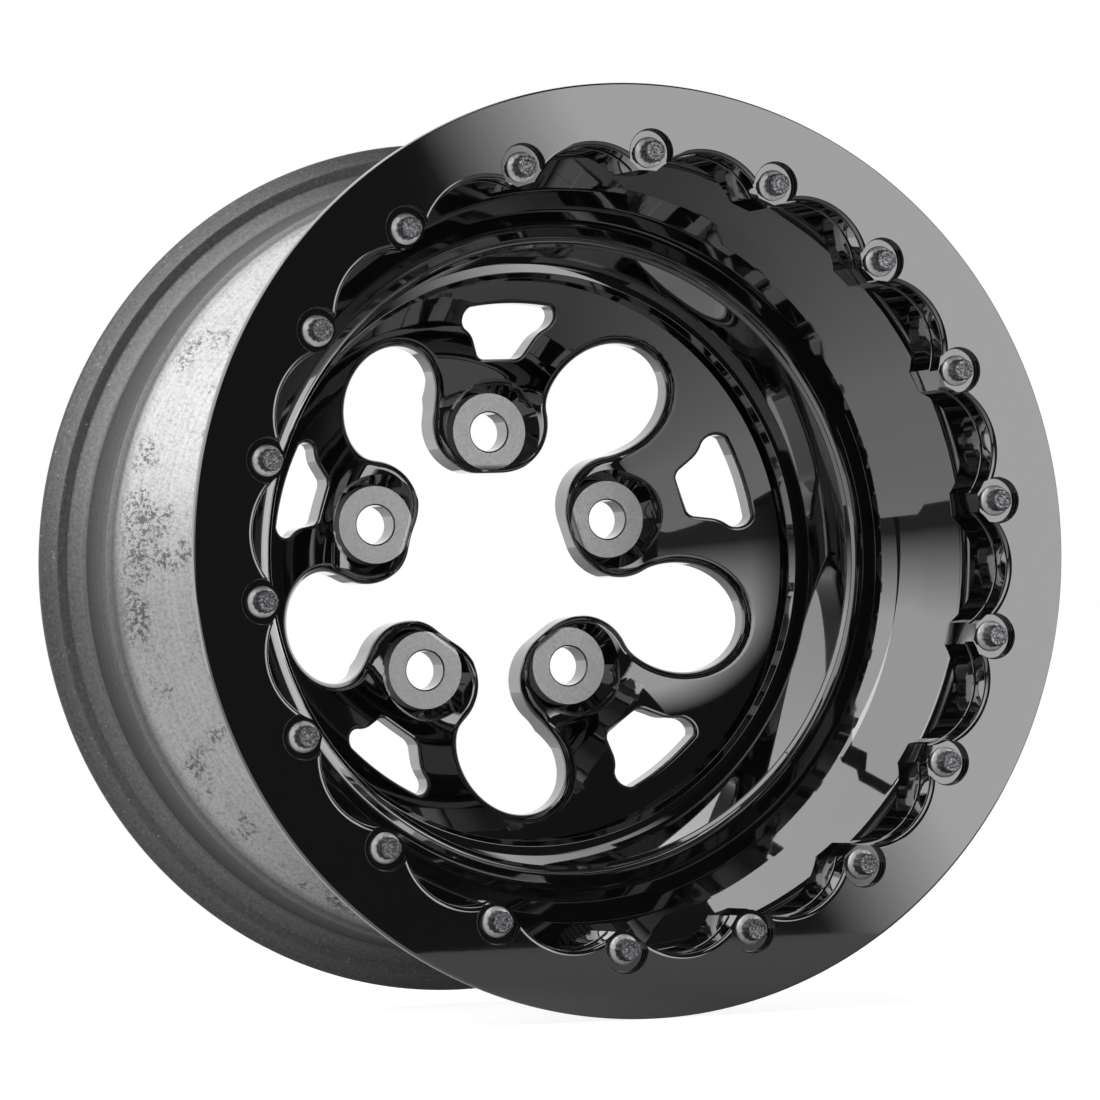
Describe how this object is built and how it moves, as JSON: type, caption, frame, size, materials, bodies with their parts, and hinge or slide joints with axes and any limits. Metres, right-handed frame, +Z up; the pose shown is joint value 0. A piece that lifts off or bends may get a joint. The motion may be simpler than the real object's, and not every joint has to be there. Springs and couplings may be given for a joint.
{
  "type": "drag racing wheel",
  "caption": "Deep-dish two-piece racing wheel with a lobed five-lug centre and a scalloped clamp ring bolted over the outer tyre bead.",
  "frame": {"origin": "centre of the lug circle on the hub face", "axes": "Y is the axle, -Y towards the open dish and +Y towards the car; +Z up with one lug straight above the axle; +X to the right seen from the dish"},
  "size_m": [0.4318, 0.2656, 0.4318],
  "materials": {
    "black_gloss": "gloss black coat over forged and spun aluminium",
    "raw_aluminium": "bare spun aluminium with stains",
    "bolt_steel": "plated steel"
  },
  "bodies": {
    "root": {"wheel_center": "black_gloss", "clamp_ring": "black_gloss", "bead_mount_ring": "black_gloss", "outer_rim_half": "black_gloss", "inner_rim_half": "raw_aluminium", "clamp_bolts": "bolt_steel", "thread_inserts": "bolt_steel", "center_seam_bead": "raw_aluminium", "ring_seam_bead": "black_gloss", "split_seam_bead": "raw_aluminium"}
  },
  "joints": []
}
